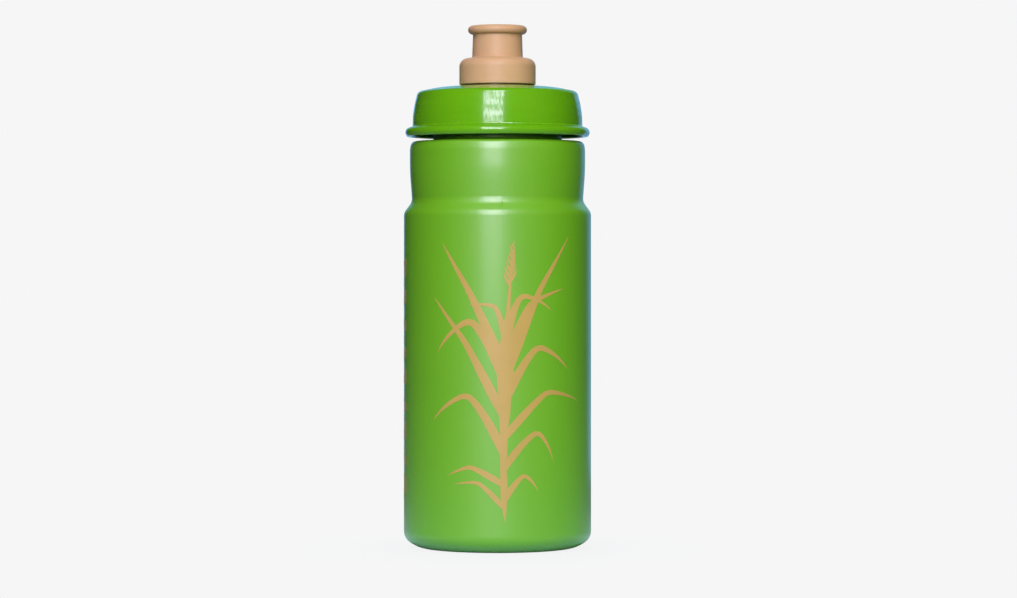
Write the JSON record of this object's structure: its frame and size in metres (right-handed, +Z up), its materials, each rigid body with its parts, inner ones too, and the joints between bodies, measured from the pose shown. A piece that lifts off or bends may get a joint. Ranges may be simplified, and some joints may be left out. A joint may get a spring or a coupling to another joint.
{
  "type": "bicycle water bottle",
  "caption": "Soft squeeze bottle for a bicycle cage, with a waist for the cage's tab, a screw cap and a push-pull mouthpiece.",
  "frame": {"origin": "centre of the foot, on the surface that the bottle stands on", "axes": "+Z up along the bottle's axis to the mouthpiece; -Y is the front, the side that carries the printed plant"},
  "size_m": [0.074, 0.074, 0.2066],
  "materials": {
    "body_green": "satin, slightly see-through soft polyethylene",
    "cap_green": "glossy polypropylene",
    "valve_tan": "smooth hard plastic",
    "grip_tan": "matt soft elastomer",
    "seal_grey": "matt silicone",
    "seal_black": "matt rubber"
  },
  "bodies": {
    "bottle": {"bottle_body": "body_green"},
    "gasket": {"cap_gasket": "seal_grey"},
    "cap": {"cap_shell": "cap_green", "valve_base": "valve_tan", "valve_base_seal": "seal_grey", "stem_oring": "seal_black"},
    "mouthpiece": {"mouthpiece_core": "valve_tan", "mouthpiece_grip": "grip_tan"}
  },
  "joints": [
    {"name": "cap_lift", "type": "slide", "parent": "bottle", "child": "gasket", "axis": [0, 0, 1], "range_m": [0, 0.00755]},
    {"name": "cap_turn", "type": "hinge", "parent": "gasket", "child": "cap", "pos_m": [0, 0, 0.17], "axis": [0, 0, 1], "range_deg": [0, 540]},
    {"name": "valve_pull", "type": "slide", "parent": "cap", "child": "mouthpiece", "axis": [0, 0, 1], "range_m": [0, 0.0065]}
  ],
  "couplings": [
    {"joint": "cap_lift", "follows": "cap_turn", "m_per_rad": 0.00079577}
  ]
}
